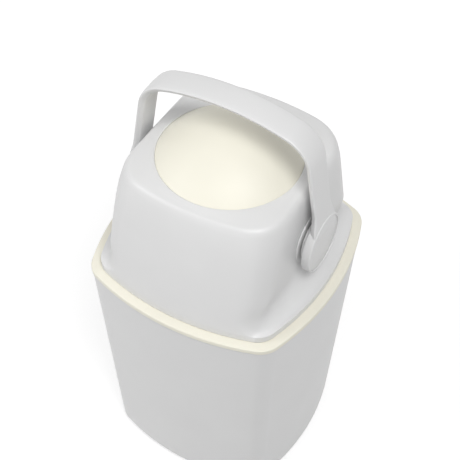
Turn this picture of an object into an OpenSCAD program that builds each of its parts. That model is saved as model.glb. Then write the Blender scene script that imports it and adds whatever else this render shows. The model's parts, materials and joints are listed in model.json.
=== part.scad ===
// Nappy bin with a turning drum.
// A tapered bin carries a bag ring, the ring carries a hinged lid, and the lid carries a drum.
// The handle turns the drum half a turn, so that a loose piston drops through it and pushes
// the nappy out of the bottom. The handle stands upright here, so the drum shows its closed side.
// Origin: middle of the bin's foot, on the floor. X runs along the drum's axle, -Y is the front.

/* [Bin] */
// Width across the rim, between the middles of two opposite sides
bin_w = 260; // [240:1:280]
// Height of the rim above the floor
bin_h = 292; // [260:1:340]
// Radius of the bowed sides at the rim
side_r = 285; // [260:5:360]
// Radius of the upright corners at the rim
corner_r = 28; // [26:1:40]
// Draft of the sides, in degrees
draft = 3; // [1:0.25:4]
// Thickness of the bin's wall and floor
bin_wall = 2.8; // [2:0.1:3.5]
// Radius of the rounded edge round the foot
foot_r = 14; // [8:1:20]
// Width of the flat rim that the bin stands on
foot_rim = 8; // [4:1:14]
// Height of the hollow under the bin's floor
foot_hollow = 4; // [2:0.5:8]

/* [Bag ring] */
// Height of the visible band
ring_h = 6.5; // [5:0.5:10]
// Width of the ledge round the lid
ring_ledge = 10.5; // [9:0.5:12]
// Thickness of the ring
ring_wall = 2.4; // [2:0.1:3]
// Depth of the skirt that hangs inside the bin
ring_skirt = 22; // [12:1:30]
// Width of the inner lip under the lid
ring_lip = 7.5; // [5:0.5:10]
// Radius of the rounded edge of the band
ring_round = 1.3; // [0.8:0.1:2]
// Gap between the ring's skirt and the bin's wall
skirt_gap = 0.8; // [0.5:0.1:1.5]

/* [Lid] */
// Radius of the lid's corners at its foot
lid_corner_foot = 24.6; // [20:0.2:30]
// Radius of the lid's front corners above the coves
lid_corner_mid = 30; // [26:1:36]
// Radius of the lid's front corners at its top
lid_corner_top = 41; // [36:1:46]
// Radius of the lid's back corners at its top
lid_corner_back = 49; // [40:1:54]
// Radius of the bowed sides of the lid above the coves
flank_r = 4000; // [1000:500:6000]
// Radius of the bowed front and back of the lid
face_r = 285; // [250:5:340]
// Thickness of the lid
lid_wall = 2.6; // [2:0.1:3]
// Height of the upright skirt at the lid's foot
lid_skirt = 8; // [5:0.5:12]
// Height at which the side coves end
cove_top = 46; // [42:1:52]
// Room for the bearings between the drum's flat ends and the lid's flanks
flank_room = 8.6; // [8.2:0.1:10]
// Narrowing of the waist, in millimetres per millimetre of height
waist_draft = 0.02; // [0:0.005:0.03]
// Height of the mouth's edge above the bin's rim
mouth_rise = 139; // [137:0.5:141]
// Distance by which the mouth is wider than the bore, all round
mouth_room = 5.2; // [4.6:0.1:6]
// Radius of the rounded edge round the lid's top
crown_r = 10; // [6:1:12]
// Rise of the lid's top from its rounded edge to the mouth
top_rise = 2; // [1:0.25:3]
// Distance from the middle to the lid's front, where its rounded top edge starts
top_front = 92.3; // [91:0.1:94]
// Distance from the middle to the lid's back, where its rounded top edge starts
top_back = 103.8; // [102:0.1:106]
// Extra lean of the front towards its top, per millimetre of height squared
front_curve = 0.000673; // [0.0005:0.00001:0.0008]
// Gap between the bag ring and the lid's foot
lid_gap = 0.5; // [0.3:0.1:1]
// Distance of the screw posts from the middle, to the side
boss_x = 74; // [72:0.5:76]
// Distance of the screw posts from the middle, to the front and back
boss_y = 82; // [80:0.5:84]
// Thickness of the wall of each screw post
boss_wall = 2.4; // [1.8:0.1:3]
// Height of the screw posts above the bin's rim
boss_rise = 27; // [24:1:30]
// Thickness of the webs that carry the screw posts
web_t = 2; // [1.5:0.1:2.5]
// Width of the pad round each bearing, outside the flange
boss_rim = 4; // [3:0.5:6]

/* [Drum] */
// Height of the drum's axle above the bin's rim
axle_rise = 69; // [67:0.5:71]
// Radius of the drum
drum_r = 102; // [100:0.5:103]
// Half of the drum's width, between its flat ends
drum_half = 86; // [83:0.5:86]
// Room between the bore and the drum's flat ends, for the liner and the screw posts
bore_room = 16; // [15.9:0.1:20]
// Thickness of the drum's walls
drum_wall = 2.4; // [2:0.1:3]
// Width of the lip at each end of the bore
bore_lip = 4; // [3:0.5:6]
// Distance by which the outlet in the housing is wider than the bore, all round
outlet_room = 3; // [1:0.5:5]
// Radius of the spindle's shaft
spindle_r = 13; // [10:0.5:15]
// Radius of the spindle's flange
flange_r = 24; // [20:0.5:26]
// Thickness of the spindle's flange
flange_t = 3; // [2:0.25:3.5]
// Width across the flats of the spindle's square drive
drive_w = 15; // [12:0.5:17]
// Thickness of the wall of each bearing bush
bush_wall = 3; // [2:0.25:4]
// Thickness of the flange of each bearing bush
bush_flange_t = 3; // [2.5:0.1:3.2]
// Gap between the drum and the housing round it
drum_gap = 1; // [0.8:0.1:1.5]
// Thickness of the housing's bowl
housing_wall = 2.4; // [2:0.1:3]
// Thickness of the housing's flat plate
plate_t = 2.4; // [2:0.1:3]
// Gap between the plate and the lid's wall
plate_gap = 0.4; // [0.3:0.05:0.8]
// Height of the plate above the lid's foot
plate_lift = 2.5; // [2:0.1:4]
// Length of the thread of each housing screw
housing_screw = 12; // [8:1:14]
// Width of the soft ring at the mouth
seal_w = 2.4; // [2:0.1:2.8]
// Thickness of the soft ring at the mouth
seal_t = 1.6; // [1:0.1:2]
// Gap between the soft ring and the lid above it
seal_gap = 1.1; // [0.8:0.1:1.4]
// Length of the collar round each end of the liner
collar_w = 6; // [4:0.5:8]
// Distance of the drum's screw posts from its flat ends
post_inset = 7.4; // [7:0.1:7.6]
// Distance of the drum's screw posts from the axle
post_y = 36; // [34:0.5:38]
// Radius of the drum's screw posts
post_r = 5.4; // [5:0.1:5.6]
// Depth of the screws in the upper half
screw_deep = 12; // [8:1:16]
// Depth from the split to the heads of the drum's screws
well_z = 14; // [10:1:20]
// Radius of the circle of screws in the spindle's flange
flange_screw_r = 19; // [18:0.25:19.5]
// Length of the square drive in the handle
drive_len = 7; // [5:0.5:9]

/* [Piston] */
// Gap between the piston and the liner
piston_gap = 0.5; // [0.3:0.1:1]
// Height of the piston's rim
piston_h = 30; // [22:1:40]
// Thickness of the piston's shells
piston_wall = 2.2; // [1.6:0.1:3]
// Depth of the dish in each face
piston_dish = 5; // [2:0.5:7]
// Distance from the piston's rim to the steel weight inside it
weight_inset = 33.5; // [26:0.5:38]
// Height of the groove for the wiper
groove_h = 4; // [3:0.5:6]
// Depth of the groove for the wiper
groove_d = 3; // [2:0.5:4]
// Distance of the screw pillars from the piston's rim
pillar_inset = 15.5; // [14:0.5:17]
// Radius of each screw pillar
pillar_r = 4.5; // [4:0.1:5]
// Distance from the piston's rim to the flat middle of each face
flat_inset = 25.5; // [24:0.5:27]
// Depth from the split to the heads of the piston screws
pillar_seat = 5; // [4:0.5:7]
// Depth of the piston screws in the front shell
pillar_deep = 6; // [4:0.5:8]
// Distance from the piston's rim to the ends of its pillars
pillar_drop = 4; // [3:0.5:5]
// Width of the piston's flat rim
piston_rim = 8; // [6:0.5:9]

/* [Handle] */
// Inner height of the handle's top above the bin's rim
handle_rise = 210; // [205:0.5:214]
// Radius of the bowed top
handle_top_r = 235; // [220:1:280]
// Radius of the inner corners
handle_corner_r = 33; // [24:1:40]
// Splay of the legs from upright, in degrees
leg_splay = 9.2; // [8:0.1:10]
// Room between the lid's flank and each leg's inner face, measured square to the leg at the axle
leg_room = 12; // [11.4:0.1:13]
// Width of the strap's outer face
strap_w = 32; // [26:0.5:36]
// Amount by which each side of the strap narrows towards its inner face
strap_bevel = 2.6; // [1:0.1:4]
// Thickness of the strap at its edges
strap_t = 6.4; // [4:0.1:7]
// Rise of the strap's crowned outer face
strap_crown = 1; // [0.4:0.1:1.6]
// Radius of the disc at the foot of each leg
disc_r = 33; // [30:0.5:35]
// Gap between the lid's flank and each disc
disc_gap = 2.1; // [1.8:0.1:2.6]
// Thickness of each disc
disc_t = 14.7; // [13.5:0.1:15.2]
// Radius of the cap on each disc
cap_r = 30.5; // [27:0.5:31]
// Thickness of each cap
cap_t = 2; // [1.5:0.1:3]
// Depth of each cap's face below the face of its disc
cap_recess = 0.8; // [0.4:0.1:1.5]
// Height above the axle at which the strap leaves the disc
foot_rise = 20; // [18:1:22]
// Height above the axle at which the strap starts to flare
flare_rise = 52; // [48:1:56]
// Width of the strap where it meets the disc
flare_w = 44; // [40:1:48]
// Radius of the strap's rounded edges
strap_round = 1.2; // [0.8:0.1:1.6]
// Radius of the rounded edge of each disc
disc_round = 1.6; // [1:0.1:2]
// Thickness of the walls of the socket in each disc
socket_wall = 2.6; // [2:0.1:3]

/* [Hinge] */
// Radius of the hinge's barrel
barrel_r = 3.5; // [3.2:0.1:3.5]
// Radius of the hinge's pin
pin_r = 1.6; // [1.2:0.1:1.8]
// Length of the hinge's pin
pin_len = 62; // [56:1:64]
// Length of each of the lid's two knuckles
knuckle_len = 15; // [12:0.5:16]
// Length of the ring's middle knuckle
middle_knuckle = 15; // [12:0.5:16]

/* [Fits] */
// Gap between parts that move on each other
gap = 0.3; // [0.3:0.05:0.4]
// Radial clearance of a shaft in its bore
running = 0.05; // [0.03:0.01:0.08]
// Clearance of a part that drops into its place
seat = 0.1; // [0.05:0.01:0.15]
// Radius of a screw's thread
screw_r = 1.5; // [1.2:0.1:1.8]
// Radius of a screw's head
head_r = 3; // [2.5:0.1:3.4]
// Height of a screw's head
head_h = 2; // [1.6:0.1:2.4]

/* [Hidden] */

white_plastic = "#dfe0e0";
cream_plastic = "#f5f1dc";
grey_plastic = "#c9cacb";
natural_nylon = "#e8e6da";
dark_rubber = "#4a4b4c";
steel = "#9fa3a6";

// Facets of the smooth shells: steps on half a side, steps round a corner.
side_steps = 3;
corner_steps = 6;
$fn = 96;

axle_z = bin_h + axle_rise;
rim_half = bin_w / 2;
bin_half = rim_half - 1;
lid_half = rim_half - ring_ledge;
ring_top = bin_h + ring_h;
lid_foot = ring_top + lid_gap;
side_bow = side_r - rim_half;

// The soft ring at the mouth runs close to the ball, and its outer edge lies under the lid's flat top.
seal_r = drum_r + gap;
seal_rise = mouth_rise - lid_wall - axle_rise - seal_gap;
seal_edge = sqrt(pow(seal_r, 2) - pow(seal_rise, 2)) + seal_w;
crown_z0 = mouth_rise - top_rise - crown_r;

// Half of the lid's width above the coves: it holds the drum with its bearings, and the mouth's ring
waist = max(drum_half + flank_room, seal_edge + seal_gap + crown_r + waist_draft * (crown_z0 - cove_top));
disc_in = waist + disc_gap;
disc_face = disc_in + disc_t;
leg_reach = waist + leg_room;
bore_r = drum_half - bore_room;
mouth_r = bore_r + mouth_room;
outlet_r = bore_r + outlet_room;
post_x = drum_half - post_inset;

// ---- Outlines and lofts ----

// Centre of a round corner between two bowed sides: half sizes a and b, their radii ra and rb, corner radius r
function corner_centre(a, ra, b, rb, r) =
  let (u = [ra - a, rb - b], d = norm(u), l = (pow(ra - r, 2) - pow(rb - r, 2) + d * d) / (2 * d))
  let (h = sqrt(pow(ra - r, 2) - l * l))
  [a - ra, 0] + [u[0], -u[1]] * l / d + [u[1], u[0]] * h / d;

// One quarter of an outline, from +X to +Y, with both of its ends
function quarter(a, ra, b, rb, r) =
  let (c = corner_centre(a, ra, b, rb, r))
  let (ta = atan2(c[1], c[0] + ra - a), tb = atan2(c[1] + rb - b, c[0]))
  concat(
    [for (i = [0 : side_steps]) let (t = ta * i / side_steps) [a - ra + ra * cos(t), ra * sin(t)]],
    [for (i = [1 : corner_steps]) let (t = ta + (tb - ta) * i / corner_steps) c + r * [cos(t), sin(t)]],
    [for (i = [1 : side_steps]) let (t = tb + (90 - tb) * i / side_steps) [rb * cos(t), b - rb + rb * sin(t)]]
  );

// A whole outline, counter-clockwise from +X, from its back quarter and its front quarter
function whole(back, front) =
  let (n = len(back) - 1)
  concat(
    [for (i = [0 : n - 1]) back[i]],
    [for (i = [n : -1 : 1]) [-back[i][0], back[i][1]]],
    [for (i = [0 : n - 1]) -front[i]],
    [for (i = [n : -1 : 1]) [front[i][0], -front[i][1]]]
  );

// A square outline with bowed sides: half width a, side radius R, corner radius r
function outline(a, R, r) = let (q = quarter(a, R, a, R, r)) whole(q, q);

// The outline at a distance inside the rim of the bin, parallel to it
function rim_outline(inset) = outline(rim_half - inset, side_r - inset, corner_r - inset);

function at_height(points, z) = [for (p = points) [p[0], p[1], z]];

// A solid through a list of rings with the same number of points, capped at both ends
module loft(rings, closed = false) {
  n = len(rings[0]);
  m = len(rings);
  last = closed ? m - 1 : m - 2;
  walls = [for (j = [0 : last]) for (i = [0 : n - 1])
    let (a = j * n + i, b = j * n + (i + 1) % n, k = (j + 1) % m, c = k * n + i, d = k * n + (i + 1) % n)
    each [[a, c, d], [a, d, b]]];
  foot = [for (i = [0 : n - 1]) i];
  cap = [for (i = [0 : n - 1]) (m - 1) * n + n - 1 - i];
  polyhedron(points = [for (r = rings) each r], faces = closed ? walls : concat([foot, cap], walls));
}

// A cylinder along X from x0 to x1, on the axle's line
module along_x(r, x0, x1, y = 0, z = axle_z) {
  translate([min(x0, x1), y, z]) rotate([0, 90, 0]) cylinder(r = r, h = abs(x1 - x0));
}

// A cylinder along Y from y0 to y1, on the bore's line
module along_y(r, y0, y1, x = 0, z = axle_z) {
  translate([x, max(y0, y1), z]) rotate([90, 0, 0]) cylinder(r = r, h = abs(y1 - y0));
}

// A solid of revolution about the bore's line; the profile is drawn as [radius, distance along +Y]
module about_bore() {
  translate([0, 0, axle_z]) rotate([-90, 0, 0]) rotate_extrude() children();
}

// ---- Bin ----

// Half width of the bin's outside at a height
function bin_half_at(z) = bin_half - (bin_h - z) * tan(draft);

// Outline of the bin's outside at a height, moved inwards by an inset
function bin_outline(z, inset = 0) =
  let (a = bin_half_at(z), k = a / bin_half)
  outline(a - inset, side_r * k - inset, max(2, corner_r * k - inset));

foot_steps = 5;
bin_floor = foot_hollow + bin_wall;

module bin_shell() {
  outside = [for (i = [0 : foot_steps]) let (t = 90 * i / foot_steps)
    at_height(bin_outline(foot_r * (1 - cos(t)), foot_r * (1 - sin(t))), foot_r * (1 - cos(t)))];
  inner_r = foot_r - bin_wall;
  inside = [for (i = [0 : foot_steps]) let (t = 90 * i / foot_steps, z = bin_floor + inner_r * (1 - cos(t)))
    at_height(bin_outline(z, bin_wall + inner_r * (1 - sin(t))), z)];
  color(white_plastic) difference() {
    loft(concat(outside, [at_height(bin_outline(bin_h), bin_h)]));
    loft(concat(inside, [at_height(bin_outline(bin_h + 1, bin_wall), bin_h + 1)]));
    translate([0, 0, -1]) linear_extrude(foot_hollow + 1) polygon(bin_outline(0, foot_r + foot_rim));
  }
}

// ---- Bag ring ----

lip_inset = ring_ledge + ring_lip;

module bag_ring() {
  skirt = 1 + bin_wall + skirt_gap;
  skirt_foot = skirt + ring_skirt * tan(draft);
  low = bin_h + gap;
  under = ring_top - ring_wall;
  section = [
    [ring_round, low], [0, low + ring_round], [0, ring_top - ring_round], [ring_round, ring_top],
    [lip_inset, ring_top], [lip_inset, under], [skirt + ring_wall, under],
    [skirt_foot + ring_wall, bin_h - ring_skirt], [skirt_foot, bin_h - ring_skirt], [skirt, low]
  ];
  color(cream_plastic) union() {
    loft([for (s = section) at_height(rim_outline(s[0]), s[1])], closed = true);
    difference() {
      union() {
        ring_knuckle(-middle_knuckle / 2, middle_knuckle / 2);
        for (side = [-1, 1]) ring_knuckle(side * outer_knuckle_in, side * pin_len / 2);
      }
      along_x(pin_r, -pin_len, pin_len, hinge_y, hinge_z);
    }
  }
}

// ---- Hinge between ring and lid ----

hinge_y = rim_half - 2 - barrel_r;
hinge_z = ring_top + barrel_r + 1;
lid_knuckle_in = middle_knuckle / 2 + gap;
outer_knuckle_in = lid_knuckle_in + knuckle_len + gap;

// A barrel on a foot that stands on the ring's ledge
module ring_knuckle(x0, x1) {
  along_x(barrel_r, x0, x1, hinge_y, hinge_z);
  foot_w = 3;
  translate([min(x0, x1), hinge_y - foot_w / 2, ring_top - ring_wall / 2])
    cube([abs(x1 - x0), foot_w, hinge_z - ring_top]);
}

module hinge_pin() {
  color(steel) along_x(pin_r, -pin_len / 2, pin_len / 2, hinge_y, hinge_z);
}

// ---- Lid ----

// Heights below are measured from the bin's rim.
skirt_z0 = ring_h + lid_gap;
skirt_z1 = skirt_z0 + lid_skirt;
wall_h = crown_z0 - skirt_z1;
front_slope = (lid_half - top_front) / wall_h - front_curve * wall_h;
back_slope = (lid_half - top_back) / wall_h;

function over_skirt(z) = max(0, z - skirt_z1);
function lid_front(z) = lid_half - front_slope * over_skirt(z) - front_curve * pow(over_skirt(z), 2);
function lid_back(z) = lid_half - back_slope * over_skirt(z);
function cove(z) =
  let (t = min(1, over_skirt(z) / (cove_top - skirt_z1)))
  (lid_half - waist) * (1 - sqrt(1 - pow(1 - t, 2)));
function lid_side(z) = z <= skirt_z1 ? lid_half : waist + cove(z) - waist_draft * max(0, z - cove_top);
// Part of the way up the cove, and of the way from the cove to the crown
function cove_part(z) = min(1, over_skirt(z) / (cove_top - skirt_z1));
function crown_part(z) = max(0, (z - cove_top) / (crown_z0 - cove_top));
function front_corner(z) =
  lid_corner_foot + (lid_corner_mid - lid_corner_foot) * cove_part(z)
  + (lid_corner_top - lid_corner_mid) * pow(crown_part(z), 3);
function back_corner(z) =
  lid_corner_foot + (lid_corner_back - lid_corner_foot) * min(1, over_skirt(z) / (crown_z0 - skirt_z1));
// The flanks flatten from the ring's bow at the foot to their own at the top of the cove
function flank_bow(z) = 1 / ((1 - cove_part(z)) / (lid_half + side_bow) + cove_part(z) / flank_r);

// A level of the lid at height z, moved inwards by an inset, z_out being its height in the model
function lid_level(z, inset, z_out) =
  let (
    side = lid_side(z) - inset,
    flank = flank_bow(z) - inset,
    face = face_r - inset,
    back = quarter(side, flank, lid_back(z) - inset, face, max(3, back_corner(z) - inset)),
    front = quarter(side, flank, lid_front(z) - inset, face, max(3, front_corner(z) - inset))
  )
  at_height(whole(back, front), bin_h + z_out);

// The round edge of the mouth, with a point for each point of a level
function mouth_ring(level, r, z) = [for (p = level)
  let (d = norm([p[0], p[1]])) [p[0] * r / d, p[1] * r / d, bin_h + z]];

crown_steps = 5;
cove_levels = [0, 0.04, 0.14, 0.3, 0.52, 0.76, 1];
wall_levels = [0.33, 0.66];

// Height of the top edge of the cleared ball that the drum turns in, at a radius
function ball_top(r) = axle_rise + sqrt(pow(drum_r + drum_gap, 2) - r * r);

module lid_shell() {
  cove_z = [for (t = cove_levels) skirt_z1 + t * (cove_top - skirt_z1)];
  wall_z = [for (t = wall_levels) cove_top + t * (crown_z0 - cove_top)];
  outer_wall = [for (z = concat([skirt_z0], cove_z, wall_z)) lid_level(z, 0, z)];
  crown = [for (i = [0 : crown_steps]) let (t = 90 * i / crown_steps)
    lid_level(crown_z0, crown_r * (1 - cos(t)), crown_z0 + crown_r * sin(t))];
  inner_r = crown_r - lid_wall;
  inner_crown = [for (i = [crown_steps : -1 : 0]) let (t = 90 * i / crown_steps)
    lid_level(crown_z0, lid_wall + inner_r * (1 - cos(t)), crown_z0 + inner_r * sin(t))];
  inner_z = concat([for (i = [len(wall_z) - 1 : -1 : 0]) wall_z[i]],
    [for (i = [len(cove_z) - 1 : -1 : 0]) cove_z[i]], [skirt_z0]);
  inner_wall = [for (z = inner_z) lid_level(z, lid_wall, z)];
  top = crown[crown_steps];
  under_z = mouth_rise - lid_wall;
  under_r = sqrt(pow(drum_r + drum_gap, 2) - pow(under_z - axle_rise, 2));
  difference() {
    color(white_plastic) union() {
      loft(concat(outer_wall, crown, [mouth_ring(top, mouth_r, mouth_rise), mouth_ring(top, under_r, under_z)],
        inner_crown, inner_wall), closed = true);
      for (side = [-1, 1]) pivot_boss(side);
      for (sx = [-1, 1]) for (sy = [-1, 1]) screw_boss(sx, sy);
      for (side = [-1, 1]) lid_knuckle(side * lid_knuckle_in, side * (lid_knuckle_in + knuckle_len));
    }
    for (side = [-1, 1]) along_x(bush_out, side * (drum_half - 1), side * (waist + 10));
    for (side = [-1, 1]) along_x(flange_r + seat, side * (drum_half - 1), side * boss_in);
    along_x(pin_r + running, -pin_len, pin_len, hinge_y, hinge_z);
    for (sx = [-1, 1]) for (sy = [-1, 1])
      translate([sx * boss_x, sy * boss_y, lid_foot]) cylinder(r = screw_r, h = boss_top - lid_foot - 4);
  }
}

// A round pad round the bush, flat on both faces
boss_in = drum_half + flange_t + gap + bush_flange_t;
boss_out = waist + 0.4;
bush_out = spindle_r + running + bush_wall;
boss_r = flange_r + boss_rim;

module pivot_boss(side) {
  along_x(boss_r, side * boss_in, side * (boss_out - 0.2));
}

// A post for a housing screw, with a web that follows the lid's corner
boss_top = bin_h + boss_rise;
plate_z = bin_h + skirt_z0 + plate_lift;

// Distance of the middle of the lid's wall from the centre, on the corner's line, at a height
corner_back = side_steps + corner_steps / 2;
corner_front = 4 * (2 * side_steps + corner_steps) - corner_back;
function corner_reach(z, sy) =
  let (p = lid_level(z - bin_h, lid_wall / 2, 0)[sy > 0 ? corner_back : corner_front])
  norm([p[0], p[1]]);

module screw_boss(sx, sy) {
  foot = plate_z + plate_t;
  wall = [for (t = [0, 0.04, 0.14, 0.3]) bin_h + skirt_z1 + t * (cove_top - skirt_z1)];
  levels = concat([foot], wall, [boss_top]);
  start = norm([boss_x, boss_y]) + screw_r + 0.5;
  turn = atan2(sy * boss_y, sx * boss_x);
  translate([sx * boss_x, sy * boss_y, foot]) cylinder(r = screw_r + boss_wall, h = boss_top - foot);
  rotate([0, 0, turn]) rotate([90, 0, 0]) translate([0, 0, -web_t / 2]) linear_extrude(web_t)
    polygon(concat([[start, boss_top], [start, foot]], [for (z = levels) [corner_reach(z, sy), z]]));
}

// A barrel with a leaf that grows out of the lid's back skirt
module lid_knuckle(x0, x1) {
  along_x(barrel_r, x0, x1, hinge_y, hinge_z);
  leaf_t = 3;
  leaf_in = lid_half - lid_wall;
  translate([min(x0, x1), leaf_in, hinge_z - leaf_t / 2]) cube([abs(x1 - x0), hinge_y - leaf_in, leaf_t]);
}

// ---- Housing under the drum ----

housing_r = drum_r + drum_gap;
plate_half = lid_half - lid_wall - plate_gap;

module drum_housing() {
  inset = rim_half - plate_half;
  top = plate_z + plate_t;
  // Radii at which the ball meets the plate's top and the outlet
  r_top = sqrt(pow(housing_r, 2) - pow(axle_z - top, 2));
  steps = 10;
  a0 = acos((axle_z - top) / housing_r);
  a1 = asin(outlet_r / housing_r);
  bowl_in = [for (i = [0 : steps]) let (a = a0 + (a1 - a0) * i / steps)
    [housing_r * sin(a), axle_z - housing_r * cos(a)]];
  bowl_out = [for (i = [steps : -1 : 0]) let (a = a0 + (a1 - a0) * i / steps, r = housing_r + housing_wall)
    [r * sin(a), axle_z - r * cos(a)]];
  color(grey_plastic) difference() {
    union() {
      translate([0, 0, plate_z]) linear_extrude(plate_t) difference() {
        polygon(outline(plate_half, plate_half + side_bow, lid_corner_foot - lid_wall - plate_gap));
        circle(r = r_top + 0.5);
      }
      rotate_extrude() polygon(concat(bowl_in, bowl_out));
    }
    for (sx = [-1, 1]) for (sy = [-1, 1])
      translate([sx * boss_x, sy * boss_y, plate_z - 1]) cylinder(r = screw_r + seat, h = plate_t + 2);
  }
}

module housing_screws() {
  color(steel) for (sx = [-1, 1]) for (sy = [-1, 1]) translate([sx * boss_x, sy * boss_y, 0]) {
    translate([0, 0, plate_z - head_h]) cylinder(r = head_r, h = head_h);
    translate([0, 0, plate_z]) cylinder(r = screw_r, h = housing_screw);
  }
}

// Soft rings that run close to the ball, at the mouth and at the outlet
module inlet_seal() {
  low = seal_rise - seal_t;
  r_low = sqrt(pow(seal_r, 2) - pow(low, 2));
  color(dark_rubber) translate([0, 0, axle_z]) rotate_extrude()
    polygon([[r_low, low], [seal_edge, low], [seal_edge, seal_rise], [seal_edge - seal_w, seal_rise]]);
}

module outlet_seal() {
  a1 = asin(outlet_r / housing_r) - 0.05;
  a0 = a1 - 1.3;
  far = housing_r + housing_wall;
  color(dark_rubber) translate([0, 0, axle_z]) rotate_extrude() polygon([
    [seal_r * sin(a0), -seal_r * cos(a0)], [far * sin(a0), -far * cos(a0)],
    [far * sin(a1), -far * cos(a1)], [seal_r * sin(a1), -seal_r * cos(a1)]
  ]);
}

module lid_gasket() {
  gasket_w = 3;
  inset = rim_half - plate_half + 0.6;
  color(dark_rubber) translate([0, 0, ring_top + gap]) linear_extrude(plate_z - ring_top - gap) difference() {
    polygon(rim_outline(inset));
    polygon(rim_outline(inset + gasket_w));
  }
}

// ---- Bearings ----

module bush(side) {
  inner = side * (drum_half + flange_t + gap);
  color(natural_nylon) difference() {
    union() {
      along_x(bush_out, side * (drum_half + flange_t + gap), side * (boss_out + 0.2));
      along_x(flange_r, inner, side * boss_in);
    }
    along_x(spindle_r + running, side * drum_half, side * (boss_out + 5));
  }
}

module bush_left() { bush(-1); }
module bush_right() { bush(1); }

// ---- Drum ----

lip_y = sqrt(pow(drum_r - drum_wall, 2) - pow(bore_r + drum_wall, 2)) - 2;

// One half of the drum, above (side 1) or below (side -1) the plane of axle and bore: a skin with
// flat ends that carry the spindles, and a lip and a collar that hold the liner at each end.
module drum_half_shell(side) {
  big = 2 * drum_r;
  color(cream_plastic) difference() {
    intersection() {
      translate([0, 0, axle_z]) rotate([0, 90, 0]) sphere(r = drum_r);
      translate([-drum_half, -big, side > 0 ? axle_z : axle_z - big]) cube([2 * drum_half, 2 * big, big]);
    }
    along_y(bore_r - bore_lip, -big, big);
    along_y(bore_r + drum_wall + seat, -lip_y, lip_y);
    difference() {
      intersection() {
        translate([0, 0, axle_z]) rotate([0, 90, 0]) sphere(r = drum_r - drum_wall);
        translate([drum_wall - drum_half, -lip_y, axle_z - big])
          cube([2 * (drum_half - drum_wall), 2 * lip_y, 2 * big]);
      }
      for (end = [-1, 1]) along_y(bore_r + 2 * drum_wall, end * (lip_y - collar_w), end * big);
      for (sx = [-1, 1]) for (sy = [-1, 1]) post(sx, sy) cylinder(r = post_r, h = big, center = true);
      for (sx = [-1, 1]) along_x(flange_r, sx * (drum_half - 8), sx * drum_half);
    }
    for (sx = [-1, 1]) for (sy = [-1, 1]) post(sx, sy) {
      if (side > 0) translate([0, 0, -1]) cylinder(r = screw_r, h = screw_deep + 1);
      if (side < 0) translate([0, 0, -well_z - 1]) cylinder(r = screw_r + seat, h = well_z + 2);
      if (side < 0) translate([0, 0, -big]) cylinder(r = head_r + seat, h = big - well_z);
    }
    for (sx = [-1, 1]) for (a = spindle_screw_angles)
      along_x(screw_r, sx * (drum_half - 6), sx * (drum_half + 1),
        flange_screw_r * cos(a), axle_z + flange_screw_r * sin(a));
  }
}

// The tube that the piston slides in, held between the two halves
module drum_liner() {
  color(cream_plastic) difference() {
    along_y(bore_r + drum_wall, seat - lip_y, lip_y - seat);
    along_y(bore_r, -lip_y - 1, lip_y + 1);
  }
}

// Posts for the screws that hold the halves together, between the liner and the flat ends
spindle_screw_angles = [45, 135, 225, 315];

module post(sx, sy) {
  translate([sx * post_x, sy * post_y, axle_z]) children();
}

module drum_upper() { drum_half_shell(1); }
module drum_lower() { drum_half_shell(-1); }

// Screws run up from the lower half, in wells that end short of the split
module drum_screws() {
  color(steel) for (sx = [-1, 1]) for (sy = [-1, 1]) post(sx, sy) {
    translate([0, 0, -well_z]) cylinder(r = screw_r, h = well_z + screw_deep);
    translate([0, 0, -well_z - head_h]) cylinder(r = head_r, h = head_h);
  }
}

module spindle(side) {
  shaft_end = disc_in + drive_len;
  color(natural_nylon) difference() {
    union() {
      along_x(flange_r, side * drum_half, side * (drum_half + flange_t));
      along_x(spindle_r, side * drum_half, side * (disc_in - gap));
      translate([side > 0 ? drum_half : -shaft_end, -drive_w / 2, axle_z - drive_w / 2])
        cube([shaft_end - drum_half, drive_w, drive_w]);
    }
    along_x(screw_r, side * (shaft_end - 12), side * (shaft_end + 1));
    for (a = spindle_screw_angles)
      along_x(screw_r + seat, side * (drum_half - 1), side * (drum_half + flange_t + 1),
        flange_screw_r * cos(a), axle_z + flange_screw_r * sin(a));
    for (a = spindle_screw_angles)
      along_x(head_r + seat, side * (drum_half + flange_t - head_h), side * (drum_half + flange_t + 1),
        flange_screw_r * cos(a), axle_z + flange_screw_r * sin(a));
  }
}

module spindle_left() { spindle(-1); }
module spindle_right() { spindle(1); }

module spindle_screws() {
  color(steel) for (side = [-1, 1]) for (a = spindle_screw_angles) {
    y = flange_screw_r * cos(a);
    z = axle_z + flange_screw_r * sin(a);
    along_x(screw_r, side * (drum_half - 5), side * (drum_half + flange_t - head_h), y, z);
    along_x(head_r, side * (drum_half + flange_t - head_h), side * (drum_half + flange_t - 0.2), y, z);
  }
}

// ---- Handle ----

// The strap's inner line: a straight leg, a round corner and a bowed top on each side.
// Angles are those of the outward normal, from the X axis towards +Z.
function on_arc(c, r, a) = [c[0] + r * cos(a), c[1] + r * sin(a)];
top_centre = [0, bin_h + handle_rise - handle_top_r];
// The corner's centre lies handle_corner_r inside both the leg's line and the top's arc.
leg_offset = leg_reach - handle_corner_r;
top_drop = axle_z - top_centre[1];
chord = leg_offset + top_drop * sin(leg_splay);
corner_angle = leg_splay + acos(chord / (handle_top_r - handle_corner_r));
corner_mid = on_arc(top_centre, handle_top_r - handle_corner_r, corner_angle);
leg_top = on_arc(corner_mid, handle_corner_r, leg_splay);

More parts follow.
